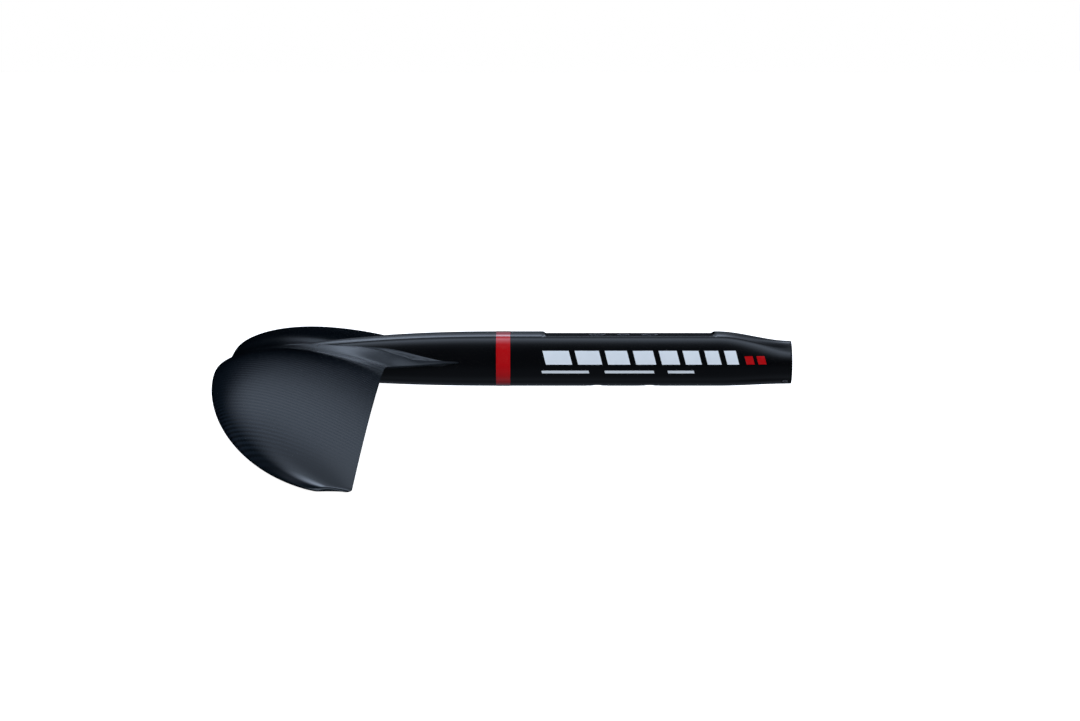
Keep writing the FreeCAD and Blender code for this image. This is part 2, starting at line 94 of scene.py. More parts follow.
TIP_FRONT_CORNER = 2.0  # how far the leading edge is drawn in at the very tip
TIP_REAR_CORNER = 4.5

# fuselage
HALF_WIDTH = 18.0
DECK_HALF_WIDTH = 14.0
DECK_TOP = 2.25  # crown of the deck
DECK_EDGE = -0.2
PARTING_Z = -19.4
KEEL_Z = -37.3
NOSE_TIP_X = -262.0
NOSE_FRONT_X = -261.5
NOSE_FULL_X = -90.0  # aft of this the fuselage has its full section
NOSE_CENTRE_Z = -17.0
NOSE_DROP = 12.8  # of the deck
NOSE_RISE = 8.6  # of the keel
NOSE_POWER = 2.3
NOSE_FULLNESS = 0.62  # power of the half width towards the nose
NOSE_SHUT_FROM = 0.72  # share of the nose's length where deck and keel start to close
NOSE_SHUT_POWER = 2.2
TAIL_START_X = 64.0
TAIL_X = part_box("tail_rim")[1].x / MM
TAIL_RADIUS = 15.6
TAIL_CENTRE_Z = -20.2
SHOULDER_ROUND = 0.7  # how far the edge of the deck is rounded down the side
SHOULDER_POLE = 0.30  # Bezier poles of the side, as shares of its height
SHOULDER_LIMIT = 1.1  # most that pole may be, as a share of the width from deck edge to side
FLANK_POLE = 0.45
BELLY_POLE = 0.66  # the same of the lower half; higher is squarer
CIRCLE_POLE = 0.5523  # the same of a quarter of a circle
EIGHTH_POLE = 0.2652  # of an eighth of a circle, as a share of its radius

# mast landing
LANDING_HALF_LENGTH = 60.0
LANDING_HALF_WIDTH = 12.9
LANDING_RAMP = 2.8  # length of the ramp at each end
LANDING_WALL = 1.0  # how far the window's rim is turned down
NO_LANDING = 99.0  # a level far above the deck
PLAIN_REACH = 0.957  # share of the deck's width that the landing's columns span where there is none

# The wing's root on top. A ledge on the fuselage's side runs down aft, with a crest beside it and a groove
# between the two in the rear half. These are (x, z) points along ledge and crest; the widths after them are
# measured from the fuselage's side.
LEDGE_LINE = [
    (-296, -26.0), (-264, -9.8), (-246, -7.1), (-228, -6.7), (-205, -6.9), (-188, -7.6), (-176, -8.5),
    (-164, -10.7), (-150, -14.3), (-138, -17.0), (-124, -19.4),
]
CREST_LINE = [
    (-296, -26.0), (-264, -9.8), (-246, -7.4), (-228, -7.0), (-210, -7.0), (-195, -8.0), (-176, -10.6),
    (-164, -13.9), (-150, -18.6), (-140, -22.0), (-124, -26.0),
]
LEDGE_SLOPE = 0.9
LEDGE_WIDTH = 0.9
GROOVE_START = 1.9
GROOVE_END = 2.1
GROOVE_DEPTH = 0.3
GROOVE_FROM_X = -192.0
GROOVE_FULL_X = -170.0
CREST = 3.6
CREST_FOOT = 26.0  # where the slope below the crest ends
CREST_FALL = 1.4  # 1.0 would be a straight slope from crest to foot
CREST_SHARE = 0.35  # largest share of the wing's reach that ledge and crest take up
REACH_FROM_X = -225.0  # aft of this the foot draws in
CORNER_REACH = 16.0  # the foot where the straight trailing edge turns into the flare
ROOT_ZONE = 48.0  # rows of the mesh follow the fuselage's side up to here

# The wing's root below: a fillet that shrinks towards the keel and towards its rear end.
LOWER_FILLET_HEIGHT = 2.0
LOWER_FILLET_WIDTH = 4.0
FILLET_KEEL_GAP = 6.0
FILLET_KEEL_SHARE = 0.6
FILLET_END_X = -124.0
FILLET_END_SLOPE = 0.2
FILLET_FADE = 16.0  # stretch ahead of the trailing edge over which it fades
ROOT_T = 0.04  # t at which the bare wing's height is taken for it
ROOT_FRONT_X = -296.0
ROOT_REAR_X = -118.0
ROOT_STATIONS = 150

# holes and socket
SEAT_HOLE_R = 8.45
SEAT_HOLE_WALL = 2.0
LOCK_HOLE_R = 3.05
LOCK_HOLE_WALL = 1.2
LOCK_X = 113.0
LOCK_ANGLE = 58.0  # degrees below the horizontal
RIM_LENGTH = 1.4
RIM_ROUND = 0.35
RIM_GAP = 0.05
SOCKET_R = 11.0

# paint and prints
FILM = 0.1
BAND_X = -91.1
BAND_WIDTH = 10.3
MARKS_FRONT_X = -60.2
BLOCK_WIDTHS = [19.0, 17.5, 16.0, 14.5, 13.0, 11.5, 10.0, 8.5]
BLOCK_GAP = 4.2
BLOCK_LOW_Z = -20.2
BLOCK_HIGH_Z = -10.2
BLOCK_LEAN = 2.6
DASHES = [(-63.0, -29.0), (-17.5, 18.0), (28.0, 47.0)]
DASH_LOW_Z = -26.6
DASH_HIGH_Z = -24.6
DASH_LEAN = 0.5
RED_BLOCKS_X = [84.6, 93.2]
RED_WIDTH = 5.8
RED_HIGH_Z = -14.2
RED_LEAN = 1.6

# points that each stretch of a mesh gets
DECK_COLUMNS = 10  # over half the window
LANDING_COLUMNS = 3  # on the narrow strip between the window and the landing's edge
SHOULDER_COLUMNS = 5
FLANK_COLUMNS = 26
QUARTER_COLUMNS = 44  # from the parting line to the keel
CHORD_COLUMNS = 72
INNER_ROWS = 3  # inside the fuselage
CREST_STEP = 0.3  # between the rows over ledge and crest, in millimetres
ROOT_ROWS = 22  # over the slope below the crest
OUTER_ROWS = 92
TIP_ROWS = 9
RIM_COLUMNS = 128
WELD = 2e-6  # metres

# ---------------------------------------------------------------- helpers


def smooth(s):
    """Smoothstep of s, clamped to 0 to 1."""
    s = np.clip(s, 0.0, 1.0)
    return s * s * (3 - 2 * s)


def cosine_steps(count):
    """Steps from 0 to 1 that crowd together at both ends."""
    return (1 - np.cos(np.pi * np.arange(count + 1) / count)) / 2


def link_object(name, data):
    """An object in the scene, from a mesh, a light or a camera."""
    obj = bpy.data.objects.new(name, data)
    bpy.context.scene.collection.objects.link(obj)
    return obj


def new_object(name, mesh, material):
    """An object of the part, riding on its one body."""
    obj = link_object(name, mesh)
    mesh.materials.append(material)
    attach(obj, "root")
    return obj


def grid_faces(rows, cols, closed):
    """Quads over a grid of points numbered row by row, and the column each quad starts in."""
    faces = []
    columns = []
    for r in range(rows - 1):
        for c in range(cols if closed else cols - 1):
            d = (c + 1) % cols
            faces.append((r * cols + c, r * cols + d, (r + 1) * cols + d, (r + 1) * cols + c))
            columns.append(c)
    return faces, columns


def raw_mesh(name, points, faces):
    """A mesh in metres from points in millimetres, in any array whose last axis is x, y, z."""
    mesh = bpy.data.meshes.new(name)
    mesh.from_pydata([tuple(p) for p in np.reshape(points, (-1, 3)) * MM], [], faces)
    return mesh


def open_mesh(mesh):
    """The mesh as a bmesh, to edit."""
    bm = bmesh.new()
    bm.from_mesh(mesh)
    return bm


def close_mesh(mesh, bm, crease_degrees):
    """Writes an edited bmesh back, shaded smooth up to the crease angle."""
    bm.to_mesh(mesh)
    bm.free()
    mesh.shade_smooth()
    mesh.set_sharp_from_angle(angle=math.radians(crease_degrees))


def smooth_mesh(name, points, faces, crease_degrees):
    """A smooth-shaded mesh, welded where points meet."""
    mesh = raw_mesh(name, points, faces)
    bm = open_mesh(mesh)
    bmesh.ops.remove_doubles(bm, verts=bm.verts, dist=WELD)
    bmesh.ops.dissolve_degenerate(bm, edges=bm.edges, dist=WELD)
    close_mesh(mesh, bm, crease_degrees)
    return mesh


def tag_upper(mesh, tags):
    """Tags each face 1 for the upper half or 0 for the lower one."""
    tag = mesh.attributes.new("upper", "INT", "FACE")
    tag.data.foreach_set("value", tags)


def two_halves(mesh, name):
    """The faces tagged upper, and the others, as two meshes."""
    return part_of(mesh, name + "_upper_surface", 1), part_of(mesh, name + "_lower_surface", 0)


def part_of(mesh, name, wanted):
    """The faces with one tag, as a mesh that keeps the whole one's shading."""
    tags = mesh.attributes["upper"].data
    points = {}
    faces = []
    normals = []
    for polygon in mesh.polygons:
        if tags[polygon.index].value != wanted:
            continue
        faces.append([points.setdefault(v, len(points)) for v in polygon.vertices])
        normals += [tuple(mesh.corner_normals[i].vector) for i in polygon.loop_indices]
    part = bpy.data.meshes.new(name)
    part.from_pydata([mesh.vertices[v].co for v in points], [], faces)
    part.shade_smooth()
    part.normals_split_custom_set(normals)
    return part


# ---------------------------------------------------------------- fuselage surface


def body_frame(x):
    """The measures of the fuselage's section at x."""
    ahead = np.clip((NOSE_FULL_X - x) / (NOSE_FULL_X - NOSE_TIP_X), 0.0, 0.9999)
    tail = float(smooth((x - TAIL_START_X) / (TAIL_X - TAIL_START_X)))
    narrow = (1 - ahead**NOSE_POWER) ** NOSE_FULLNESS
    shutting = max(0.0, (ahead - NOSE_SHUT_FROM) / (1 - NOSE_SHUT_FROM))
    shut = (1 - shutting**NOSE_SHUT_POWER) ** 0.5

    def level(z, nose_change):
        """A height, changed towards the nose and closed at its end."""
        return NOSE_CENTRE_Z + (z + nose_change * ahead**NOSE_POWER - NOSE_CENTRE_Z) * shut

    def towards(value, tail_value):
        """A measure on its way to the round tail's."""
        return value + (tail_value - value) * tail

    diagonal = TAIL_RADIUS * math.sin(math.pi / 4)
    f = {
        "half": towards(HALF_WIDTH * narrow, TAIL_RADIUS),
        "deck": towards(DECK_HALF_WIDTH * narrow, diagonal),
        "top": towards(level(DECK_TOP, -NOSE_DROP), TAIL_CENTRE_Z + TAIL_RADIUS),
        "edge": towards(level(DECK_EDGE, -NOSE_DROP), TAIL_CENTRE_Z + diagonal),
        "parting": towards(level(PARTING_Z, 0.0), TAIL_CENTRE_Z),
        "keel": towards(level(KEEL_Z, NOSE_RISE), TAIL_CENTRE_Z - TAIL_RADIUS),
    }
    drop = f["edge"] - f["parting"]
    round_pole = EIGHTH_POLE * TAIL_RADIUS
    shoulder = min(SHOULDER_POLE * drop, SHOULDER_LIMIT * (f["half"] - f["deck"]))
    f["shoulder"] = towards(shoulder, round_pole) * math.sin(math.pi / 4)
    f["flank"] = towards(FLANK_POLE * drop, round_pole)
    f["square"] = towards(BELLY_POLE, CIRCLE_POLE)
    return f


def bezier(poles, s):
    """Points at parameters s on a Bezier curve of three or four poles."""
    s = np.asarray(s, float)[:, None]
    degree = len(poles) - 1
    points = 0.0
    for i, pole in enumerate(poles):
        points = points + math.comb(degree, i) * s**i * (1 - s) ** (degree - i) * np.array(pole, float)
    return points


def through(points, x):
    """A smooth curve through (x, z) points, level before the first and after the last."""
    xs, zs = np.array(points, float).T
    slopes = np.gradient(zs, xs)
    i = np.clip(np.searchsorted(xs, x) - 1, 0, len(xs) - 2)
    step = xs[i + 1] - xs[i]
    s = np.clip((x - xs[i]) / step, 0.0, 1.0)
    start = zs[i] * (1 + 2 * s) * (1 - s) ** 2 + slopes[i] * step * s * (1 - s) ** 2
    return start + zs[i + 1] * s**2 * (3 - 2 * s) + slopes[i + 1] * step * s**2 * (s - 1)


def landing_level(x):
    """Height of the landing's floor and end ramps at x, NO_LANDING everywhere else."""
    out = abs(x) - LANDING_HALF_LENGTH
    if out <= 0:
        return 0.0
    if out < LANDING_RAMP:
        return DECK_TOP * float(smooth(out / LANDING_RAMP))
    return NO_LANDING


def half_section(x, proud=0.0, with_landing=True):
    """Points (y, z) down one side of the fuselage's section, from the deck's middle to the keel.
    Each stretch has a fixed number of points, so sections join into a grid."""
    f = body_frame(x)
    level = landing_level(x) if with_landing else NO_LANDING
    window = LANDING_HALF_WIDTH * f["deck"] / DECK_HALF_WIDTH
    reach = f["deck"] * PLAIN_REACH
    if level < f["top"]:
        cut = max(0.0, level - f["edge"]) / (f["top"] - f["edge"])
        reach = f["deck"] * math.sqrt(max(0.05, 1 - cut))
    window = min(window, 0.97 * reach)
    ys = list(np.linspace(0, window, DECK_COLUMNS))
    ys.append(window + 1e-3)
    ys += list(np.linspace(window, reach, LANDING_COLUMNS)[1:])
    ys.append(reach + 0.15 * (f["deck"] - reach))
    deck = []
    for y in ys:
        z = f["edge"] + (f["top"] - f["edge"]) * (1 - (y / f["deck"]) ** 2)
        deck.append((y, min(z, level)))
    side = [
        (f["deck"], f["edge"]),
        (f["deck"] + f["shoulder"], f["edge"] - f["shoulder"]),
        (f["half"], f["parting"] + f["flank"]),
        (f["half"], f["parting"]),
    ]
    belly = f["parting"] - f["square"] * (f["parting"] - f["keel"])
    quarter = [
        (f["half"], f["parting"]), (f["half"], belly), (f["square"] * f["half"], f["keel"]), (0.0, f["keel"]),
    ]
    length = math.hypot(f["half"] - f["deck"], f["edge"] - f["parting"])
    start = min(0.12, SHOULDER_ROUND / max(length, 1e-6))
    flank = bezier(side, start + (1 - start) * np.linspace(0, 1, FLANK_COLUMNS))
    corner = [deck[-1], (f["deck"], f["edge"]), tuple(flank[0])]
    rounded = bezier(corner, np.linspace(0, 1, SHOULDER_COLUMNS))[1:-1]
    lower = bezier(quarter, np.linspace(0, 1, QUARTER_COLUMNS))[1:]
    points = np.concatenate([deck, rounded, flank, lower])
    if proud:
        points = points + proud * outward(points)
    return points


def outward(points):
    """Unit normals of a polyline that runs from the top round to the keel on the +Y side."""
    step = np.gradient(points, axis=0)
    normal = np.stack([-step[:, 1], step[:, 0]], axis=1)
    normal[0] = (0.0, 1.0)
    normal[-1] = (0.0, -1.0)
    return normal / np.maximum(np.linalg.norm(normal, axis=1), 1e-9)[:, None]


# The column of the parting line: the deck's points, the shoulder's inner ones and the flank's, less one.
PARTING_COLUMN = (DECK_COLUMNS + LANDING_COLUMNS + 1) + (SHOULDER_COLUMNS - 2) + FLANK_COLUMNS - 1


def section_ring(x, proud=0.0):
    """The whole section as a closed ring of (x, y, z): starboard from deck to keel, then port back up."""
    half = half_section(x, proud)
    starboard = [(x, y, z) for y, z in half]
    port = [(x, -y, z) for y, z in half[-2:0:-1]]
    return np.array(starboard + port)


def flank_y(x, z):
    """Half width of the fuselage at height z, 0 above its crown or below its keel."""
    half = half_section(float(x), with_landing=False)
    f = body_frame(float(x))
    if z >= f["top"] or z <= f["keel"]:
        return 0.0
    return float(np.interp(-z, -half[:, 1], half[:, 0]))


# ---------------------------------------------------------------- wing surface


def chord(t):
    """Length of the chord at t, without the flare."""
    cutback = ROOT_CUTBACK * np.exp(-((t / CUTBACK_WIDTH) ** 2))
    return ROOT_CHORD * np.sqrt(np.maximum(1 - (TIP_CLIP * t) ** 2, 0.0)) - cutback


def flare(t):
    """How far the trailing edge runs aft of its straight line at t."""
    away = (t * HALF_SPAN - FLARE_START_Y) / (FLARE_END_Y - FLARE_START_Y)
    return FLARE * (1 - smooth(away)) ** 4


def camber_line(u):
    """Height of the camber line at u, as a share of the chord."""
    m, p = CAMBER, CAMBER_PLACE
    front = m / p**2 * (2 * p * u - u * u)
    rear = m / (1 - p) ** 2 * (1 - 2 * p + 2 * p * u - u * u)
    return np.where(u < p, front, rear)


def half_thickness(t, u):
    """Height of the surface above the camber line."""
    share = ROOT_THICKNESS + (TIP_THICKNESS - ROOT_THICKNESS) * t
    # the usual four-digit thickness form, closed at its rear end
    foil = 0.2969 * np.sqrt(u) - 0.1260 * u - 0.3516 * u**2 + 0.2843 * u**3 - 0.1036 * u**4
    edge = ROOT_EDGE + (TIP_EDGE - ROOT_EDGE) * t
    return 5 * share * chord(t) * foil + edge / 2 * u


def wing_x(t, u):
    """x at t and u, flare included."""
    stretch = np.maximum(0.0, u - FLARE_FROM) / (1 - FLARE_FROM)
    return TRAILING_EDGE_X - chord(t) * (1 - u) + flare(t) * stretch**2


def wing_z(t, u):
    """Height of the camber line."""
    gull = GULL_DROP * np.exp(-((t / GULL_WIDTH) ** 2))
    z = TRAILING_EDGE_Z - TIP_DROOP * t**DROOP_POWER - gull
    z = z + chord(t) * camber_line(u) + chord(t) * (1 - u) * np.tan(math.radians(TIP_TWIST) * t)
    aft = np.maximum(0.0, wing_x(t, u) - TRAILING_EDGE_X) / FLARE_RISE_STRETCH
    return z + FLARE_RISE * aft**1.3


def lower_root_height(x):
    """Height at which the lower fillet meets the fuselage's side."""
    u = float(np.clip(1 - (TRAILING_EDGE_X - x) / chord(ROOT_T), 0.001, 1.0))
    bare = float(wing_z(ROOT_T, np.array(u)) - half_thickness(ROOT_T, np.array(u)))
    above_keel = bare - body_frame(float(x))["keel"] - FILLET_KEEL_GAP
    keel_limit = max(0.0, FILLET_KEEL_SHARE * above_keel)
    end_limit = FILLET_END_SLOPE * max(0.0, FILLET_END_X - x)
    return bare - min(LOWER_FILLET_HEIGHT, keel_limit, end_limit)


def root_line(sign):
    """Where the upper (1) or lower (-1) surface meets the fuselage: x, half width of the fuselage there and
    height of the meeting."""
    xs = np.linspace(ROOT_FRONT_X, ROOT_REAR_X, ROOT_STATIONS)
    widths = []
    heights = []
    for x in xs:
        height = float(through(LEDGE_LINE, x)) if sign > 0 else lower_root_height(x)
        widths.append(flank_y(x, height) if x > NOSE_FRONT_X else 0.0)
        heights.append(height)
    return xs, np.array(widths), np.array(heights)


def fillet(share):
    """Height share of a fillet at a share of its width from the wall: 1 at the wall, 0 at its foot."""
    share = np.clip(share, 0.0, 1.0)
    return 1 - np.sqrt(np.maximum(0.0, 1 - (1 - share) ** 2))


def between(a, b, share):
    """a at share 0, b at share 1."""
    return a + (b - a) * share


def flare_reach(x, wall):
    """How far the slope beside the fuselage reaches from its side at x: less and less along the flare."""
    y = np.linspace(FLARE_END_Y, FLARE_START_Y, 200)
    edge = TRAILING_EDGE_X + flare(y / HALF_SPAN)
    reach = np.maximum(0.3, np.interp(x, edge, y) - wall)
    near = smooth((x - REACH_FROM_X) / (TRAILING_EDGE_X - REACH_FROM_X))
    ahead = between(CREST_FOOT, CORNER_REACH, near)
    return np.where(x < TRAILING_EDGE_X, ahead, np.minimum(reach, CORNER_REACH))


def root_top(x, away, bare, reach):
    """Height of the wing's upper surface near the fuselage, away from its side, over the bare wing. The crest
    and the foot of its slope draw in where the wing reaches less far."""
    foot = np.minimum(CREST_FOOT, reach)
    squeeze = np.minimum(1.0, CREST_SHARE * reach / CREST)
    slope_share = np.clip((away - CREST * squeeze) / (foot - CREST * squeeze), 0.0, 1.0)
    away = away / squeeze
    ledge = through(LEDGE_LINE, x)
    crest = through(CREST_LINE, x)
    grooved = smooth((x - GROOVE_FROM_X) / (GROOVE_FULL_X - GROOVE_FROM_X))
    groove = np.minimum(crest, ledge - LEDGE_SLOPE * LEDGE_WIDTH) - GROOVE_DEPTH
    into = smooth((away - LEDGE_WIDTH) / (GROOVE_START - LEDGE_WIDTH))
    out = smooth((away - GROOVE_END) / (CREST - GROOVE_END))
    deep = between(between(ledge - LEDGE_SLOPE * away, groove, into), crest, out)
    plain = between(ledge, crest, smooth(away / CREST))
    inner = between(plain, deep, grooved)
    outer = between(bare, crest, (1 - slope_share) ** CREST_FALL)
    return np.maximum(np.where(away < CREST, inner, outer), bare)


def row_places():
    """Rows outwards from the middle: ("inner", share of the fuselage's half width), ("root", distance from
    the fuselage's side) or ("outer", y). They crowd together over the ledge and crest and at the tip."""
    end = HALF_SPAN - TIP_ROUND
    rows = [("inner", s) for s in np.linspace(0, 1, INNER_ROWS + 1)[:-1]]
    rows += [("root", d) for d in np.arange(0, CREST + 0.5, CREST_STEP)]
    rows += [("root", d) for d in np.geomspace(CREST + 0.7, ROOT_ZONE, ROOT_ROWS)]
    ys = ROOT_ZONE + (end - ROOT_ZONE) * np.sin(np.linspace(0, 1, OUTER_ROWS) * math.pi / 2)
    rows += [("outer", y) for y in ys[1:]]
    angles = np.linspace(0, math.pi / 2, TIP_ROWS)[1:]
    rows += [("outer", end + TIP_ROUND * math.sin(a)) for a in angles]
    return rows


def wing_half_row(kind, place, u, sign, line):
    """Points of one row over the upper (1) or lower (-1) surface, at u from the nose back. In the root zone x
    and y depend on each other through the fuselage's side, so the two are found in a few rounds."""
    xs, widths, heights = line
    y = np.full_like(u, place if kind == "outer" else ROOT_ZONE)
    for _ in range(6):
        x = wing_x(y / HALF_SPAN, u)
        wall = np.interp(x, xs, widths)
        if kind == "inner":
            y = place * wall
        elif kind == "root":
            y = place + wall * (1 - smooth((place - CREST_FOOT) / (ROOT_ZONE - CREST_FOOT)))
    t = y / HALF_SPAN
    x = wing_x(t, u)
    wall = np.interp(x, xs, widths)
    half = half_thickness(t, u)
    tip = np.clip((y - (HALF_SPAN - TIP_ROUND)) / TIP_ROUND, 0.0, 1.0)
    bare = wing_z(t, u) + sign * half * np.sqrt(1 - tip**2)
    end_x = wing_x(t, np.ones_like(u))
    away = np.maximum(0.0, y - wall)
    if sign > 0:
        z = root_top(x, away, bare, flare_reach(x, wall))
    else:
        height = np.maximum(0.0, bare - np.interp(x, xs, heights))
        width = np.maximum(LOWER_FILLET_WIDTH * height / LOWER_FILLET_HEIGHT, 1.0)
        z = bare - height * fillet(away / width) * smooth((end_x - x) / FILLET_FADE)
    corner = np.clip((y - (HALF_SPAN - TIP_CORNER)) / TIP_CORNER, 0.0, 1.0)
    pull = 1 - np.sqrt(1 - corner**2)
    x = x + pull * between(TIP_FRONT_CORNER, -TIP_REAR_CORNER, u)
    return np.stack([x, y, z], axis=1)


def wing_meshes():
    """The wing's outer surface, split along its leading and trailing edges into two skins."""
    u = cosine_steps(CHORD_COLUMNS)
    lines = {1: root_line(1), -1: root_line(-1)}
    half_rows = []
    for kind, place in row_places():
        upper = wing_half_row(kind, place, u, 1, lines[1])[::-1]
        lower = wing_half_row(kind, place, u, -1, lines[-1])[1:]
        half_rows.append(np.concatenate([upper, lower]))
    half = np.array(half_rows)
    mirrored = half[::-1].copy()
    mirrored[:, :, 1] *= -1
    grid = np.concatenate([mirrored[:-1], half])
    faces, columns = grid_faces(*grid.shape[:2], closed=True)
    mesh = raw_mesh("wing_whole", grid, faces)
    tag_upper(mesh, [1 if c < CHORD_COLUMNS else 0 for c in columns])
    bm = open_mesh(mesh)
    bmesh.ops.remove_doubles(bm, verts=bm.verts, dist=WELD)
    bmesh.ops.dissolve_degenerate(bm, edges=bm.edges, dist=WELD)
    bmesh.ops.recalc_face_normals(bm, faces=bm.faces)
    close_mesh(mesh, bm, 38)
    return two_halves(mesh, "wing")


# ---------------------------------------------------------------- fuselage meshes


def body_stations():
    """Stations along the fuselage, closer together where it turns."""
    edge = LANDING_HALF_LENGTH
    ramp = edge + LANDING_RAMP
    stretches = [
        (NOSE_FRONT_X, -240, 0.8), (-240, -150, 1.8), (-150, -ramp - 1, 2.5),
        (-ramp - 1, -edge - 0.1, 0.35), (-edge, -34, 2.0), (-34, 26, 0.9), (26, edge, 2.0),
        (edge + 0.1, ramp + 1, 0.35), (ramp + 1.5, 107, 1.6), (107, TAIL_X - RIM_LENGTH, 0.45),
    ]
    xs = []
    for low, high, step in stretches:
        count = max(1, round((high - low) / step))
        xs += list(np.linspace(low, high, count + 1))
    return sorted(set(round(x, 4) for x in xs))


def lock_axis(side):
    """A lock screw's axis: a point on the socket's centre line and the outward direction."""
    angle = math.radians(LOCK_ANGLE)
    return np.array([LOCK_X, 0, TAIL_CENTRE_Z]), np.array([0, side * math.cos(angle), -math.sin(angle)])


def bolt_places():
    """x of the two mast bolts, from the seats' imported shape."""
    low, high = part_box("mast_bolt_seats")
    return [low.x / MM + SEAT_HOLE_R, high.x / MM - SEAT_HOLE_R]


def open_hole(bm, point, axis, radius, depth):
    """Opens a round hole where the axis leaves the surface: the nearest points are drawn onto its rim, the
    faces inside go, and a wall is turned inwards."""
    def radial(v):
        """A vertex's vector away from the axis and its distance along it."""
        from_point = np.array(v.co) / MM - point
        along = from_point @ axis
        return from_point - along * axis, along

    near = 0.1375 * radius
    for v in bm.verts:
        away, along = radial(v)
        distance = np.linalg.norm(away)
        if along > 0 and abs(distance - radius) < near:
            v.co = v.co + Vector(away * (radius / distance - 1) * MM)
    inside = []
    for f in bm.faces:
        parts = [radial(v) for v in f.verts]
        if all(along > 0 and np.linalg.norm(away) < radius + 0.02 for away, along in parts):
            inside.append(f)
    bmesh.ops.delete(bm, geom=inside, context="FACES")
    rim = []
    for e in bm.edges:
        parts = [radial(v) for v in e.verts]
        if e.is_boundary and all(along > 0 and np.linalg.norm(away) < radius * 1.3 for away, along in parts):
            rim.append(e)
    for v in {v for e in rim for v in e.verts}:
        away, along = radial(v)
        v.co = v.co + Vector(away * (radius / np.linalg.norm(away) - 1) * MM)
    made = bmesh.ops.extrude_edge_only(bm, edges=rim)
    for v in [g for g in made["geom"] if isinstance(g, bmesh.types.BMVert)]:
        v.co = v.co - Vector(axis * depth * MM)


def body_meshes():
    """The fuselage's outer surface with its landing, window and holes, split along the parting line."""
    xs = body_stations()
    grid = np.array([section_ring(x) for x in xs])
    rows, cols = grid.shape[:2]
    faces, columns = grid_faces(rows, cols, closed=True)
    window_end = LANDING_HALF_LENGTH + 0.01
    kept = []
    tags = []
    for index, (face, column) in enumerate(zip(faces, columns)):
        row = index // cols
        from_middle = min(column, cols - 1 - column)
        if -window_end <= xs[row] and xs[row + 1] <= window_end and from_middle < DECK_COLUMNS:
            continue
        kept.append(face)
        tags.append(1 if from_middle < PARTING_COLUMN else 0)
    mesh = raw_mesh("fuselage_whole", grid, kept)
    tag_upper(mesh, tags)
    bm = open_mesh(mesh)
    bmesh.ops.delete(bm, geom=[v for v in bm.verts if not v.link_faces], context="VERTS")
    window_wall(bm)
    for x in bolt_places():
        middle = np.array([x, 0, TAIL_CENTRE_Z])
        open_hole(bm, middle, np.array([0, 0, -1.0]), SEAT_HOLE_R, SEAT_HOLE_WALL)
    for side in (-1, 1):
        open_hole(bm, *lock_axis(side), LOCK_HOLE_R, LOCK_HOLE_WALL)
    bmesh.ops.remove_doubles(bm, verts=bm.verts, dist=WELD)
    bmesh.ops.recalc_face_normals(bm, faces=bm.faces)
    close_mesh(mesh, bm, 24)
    return two_halves(mesh, "fuselage")


def window_wall(bm):
    """Turns the rim of the deck's window down, to meet the mast block."""
    rim = []
    for e in bm.edges:
        middle = (e.verts[0].co + e.verts[1].co) / 2 / MM
        within = abs(middle.x) < LANDING_HALF_LENGTH + 0.2 and abs(middle.y) < LANDING_HALF_WIDTH + 0.2
        if e.is_boundary and within and middle.z > -1:
            rim.append(e)
    made = bmesh.ops.extrude_edge_only(bm, edges=rim)
    for v in [g for g in made["geom"] if isinstance(g, bmesh.types.BMVert)]:
        v.co.z -= LANDING_WALL * MM


def band_mesh():
    """The painted band: a film over the fuselage with its edges turned in."""
    low, high = BAND_X - BAND_WIDTH / 2, BAND_X + BAND_WIDTH / 2
    rings = [section_ring(low)]
    rings += [section_ring(x, FILM) for x in np.linspace(low + 0.05, high - 0.05, 9)]
    rings += [section_ring(high)]
    faces, _ = grid_faces(len(rings), len(rings[0]), closed=True)
    return smooth_mesh("colour_band_film", rings, faces, 24)


def flank_patch(outline, side):
    """A four-sided film on the fuselage's side, from (x, z) corners: low front, low rear, high rear, high
    front."""
    (x0, z0), (x1, z1), (x2, z2), (x3, z3) = outline
    count_x = max(2, round((x1 - x0) / 2.0))
    count_z = max(2, round((z3 - z0) / 1.0))
    points = []
    for i in range(count_x + 1):
        s = i / count_x
        for j in range(count_z + 1):
            r = j / count_z
            x = (x0 + (x1 - x0) * s) * (1 - r) + (x3 + (x2 - x3) * s) * r
            z = (z0 + (z1 - z0) * s) * (1 - r) + (z3 + (z2 - z3) * s) * r
            points.append((x, side * (flank_y(x, z) + FILM), z))
    faces, _ = grid_faces(count_x + 1, count_z + 1, closed=False)
    if side > 0:
        faces = [f[::-1] for f in faces]
    return points, faces


def patches_mesh(name, outlines, side):
    """Several films as one mesh."""
    points = []
    faces = []
    for outline in outlines:
        more_points, more_faces = flank_patch(outline, side)
        faces += [tuple(i + len(points) for i in f) for f in more_faces]
        points += more_points
    return smooth_mesh(name, points, faces, 40)


def slanted(x0, x1, z0, z1, lean):
    """A four-sided mark in side view, leaning forward towards its top."""
    return [(x0, z0), (x1, z0), (x1 - lean, z1), (x0 - lean, z1)]


def side_marks():
    """Generic bars: a row of slanted blocks that grow shorter aft, over a row of thin dashes."""
    marks = []
    x = MARKS_FRONT_X
    for width in BLOCK_WIDTHS:
        marks.append(slanted(x, x + width, BLOCK_LOW_Z, BLOCK_HIGH_Z, BLOCK_LEAN))
        x += width + BLOCK_GAP
    for x0, x1 in DASHES:
        marks.append(slanted(x0, x1, DASH_LOW_Z, DASH_HIGH_Z, DASH_LEAN))
    return marks


def size_marks():
    """Two red blocks behind the row."""
    return [slanted(x, x + RED_WIDTH, BLOCK_LOW_Z, RED_HIGH_Z, RED_LEAN) for x in RED_BLOCKS_X]


